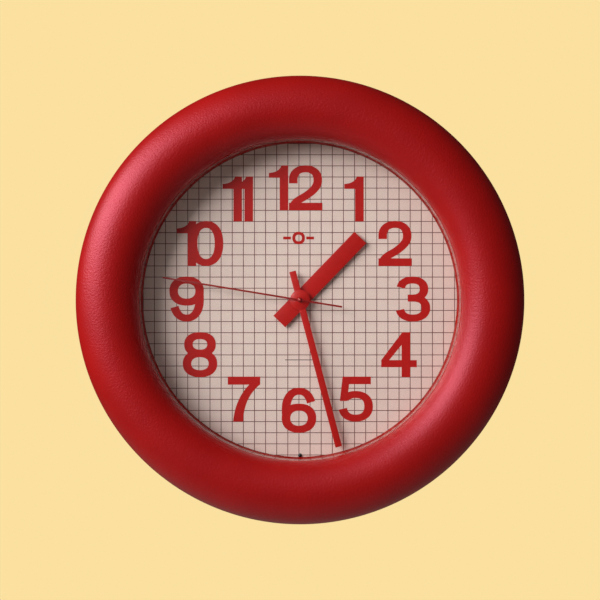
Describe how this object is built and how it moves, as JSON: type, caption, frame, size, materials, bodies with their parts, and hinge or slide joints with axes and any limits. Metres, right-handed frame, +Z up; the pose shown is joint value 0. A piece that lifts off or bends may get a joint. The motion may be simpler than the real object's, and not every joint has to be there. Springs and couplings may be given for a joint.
{
  "type": "wall clock",
  "caption": "Round wall clock in a fat red ring, with a gridded dial, three hands geared to a battery quartz movement, and a keyhole hanger.",
  "frame": {"origin": "where the hands' axis meets the wall plane, on the ring's rear rim plane", "axes": "+Z up, towards 12; -Y out of the dial towards the viewer; +X to the right, towards 3"},
  "size_m": [0.25, 0.0508, 0.25],
  "materials": {
    "ring_abs": "red ABS, satin roll and polished window wall",
    "lens_acrylic": "clear acrylic",
    "dial_print": "printed pinkish cream sheet",
    "pin_black": "black acetal",
    "plate_abs": "black ABS",
    "screw_zinc": "bright zinc plate",
    "hanger_steel": "zinc-plated pressed steel",
    "movement_abs": "black ABS",
    "cell_sleeve": "printed sleeve, no lettering",
    "contact_nickel": "nickel-plated spring steel",
    "soft_iron": "bare soft iron",
    "bobbin_nylon": "natural nylon",
    "enamelled_copper": "enamelled copper wire",
    "board_laminate": "phenolic board",
    "chip_resin": "black epoxy",
    "crystal_can": "tinned can",
    "magnet_ferrite": "sintered magnet",
    "gear_acetal": "natural acetal",
    "arbor_steel": "polished steel",
    "knob_abs": "white ABS",
    "hand_enamel": "red enamel on aluminium",
    "second_enamel": "dark red enamel on aluminium"
  },
  "bodies": {
    "clock": {"case_ring": "ring_abs", "lens": "lens_acrylic", "spacer_ring": "ring_abs", "dial": "dial_print", "locating_pin": "pin_black", "back_plate": "plate_abs", "plate_screws": "screw_zinc", "hanger_plate": "hanger_steel", "hanger_screws": "screw_zinc", "movement_case": "movement_abs", "movement_cover": "movement_abs", "movement_screws": "screw_zinc", "battery": "cell_sleeve", "positive_contact": "contact_nickel", "negative_contact": "contact_nickel", "coil_core": "soft_iron", "coil_bobbin": "bobbin_nylon", "coil_winding": "enamelled_copper", "stator": "soft_iron", "circuit_board": "board_laminate", "clock_chip": "chip_resin", "quartz_crystal": "crystal_can"},
    "seconds": {"second_hand": "second_enamel", "second_wheel": "gear_acetal", "second_arbor": "arbor_steel"},
    "minutes": {"minute_hand": "hand_enamel", "minute_wheel": "gear_acetal"},
    "hours": {"hour_hand": "hand_enamel", "hour_wheel": "gear_acetal"},
    "rotor": {"rotor_magnet": "magnet_ferrite", "rotor_pinion": "gear_acetal"},
    "intermediate": {"intermediate_wheel": "gear_acetal"},
    "third": {"third_wheel": "gear_acetal"},
    "motion": {"motion_wheel": "gear_acetal"},
    "setting": {"setting_wheel": "gear_acetal", "setting_knob": "knob_abs"}
  },
  "joints": [
    {"name": "second_spin", "type": "hinge", "parent": "clock", "child": "seconds", "pos_m": [0, -0.01, 0], "axis": [0, 1, 0], "continuous": true},
    {"name": "minute_spin", "type": "hinge", "parent": "clock", "child": "minutes", "pos_m": [0, -0.01, 0], "axis": [0, 1, 0], "continuous": true},
    {"name": "hour_spin", "type": "hinge", "parent": "clock", "child": "hours", "pos_m": [0, -0.01, 0], "axis": [0, 1, 0], "continuous": true},
    {"name": "rotor_spin", "type": "hinge", "parent": "clock", "child": "rotor", "pos_m": [-0.00706, -0.01, 0.01496], "axis": [0, 1, 0], "continuous": true},
    {"name": "intermediate_spin", "type": "hinge", "parent": "clock", "child": "intermediate", "pos_m": [-0.001, -0.01, 0.01146], "axis": [0, 1, 0], "continuous": true},
    {"name": "third_spin", "type": "hinge", "parent": "clock", "child": "third", "pos_m": [-0.01034, -0.01, 0.00376], "axis": [0, 1, 0], "continuous": true},
    {"name": "motion_spin", "type": "hinge", "parent": "clock", "child": "motion", "pos_m": [0.00997, -0.01, 0.00465], "axis": [0, 1, 0], "continuous": true},
    {"name": "setting_spin", "type": "hinge", "parent": "clock", "child": "setting", "pos_m": [0.01792, -0.01, -0.00483], "axis": [0, 1, 0], "continuous": true}
  ],
  "couplings": [
    {"joint": "minute_spin", "follows": "second_spin", "ratio": 0.016667},
    {"joint": "hour_spin", "follows": "second_spin", "ratio": 0.0013889},
    {"joint": "third_spin", "follows": "second_spin", "ratio": -0.13333},
    {"joint": "motion_spin", "follows": "second_spin", "ratio": -0.0055556},
    {"joint": "intermediate_spin", "follows": "second_spin", "ratio": -5},
    {"joint": "rotor_spin", "follows": "second_spin", "ratio": 30},
    {"joint": "setting_spin", "follows": "second_spin", "ratio": 0.011111}
  ]
}
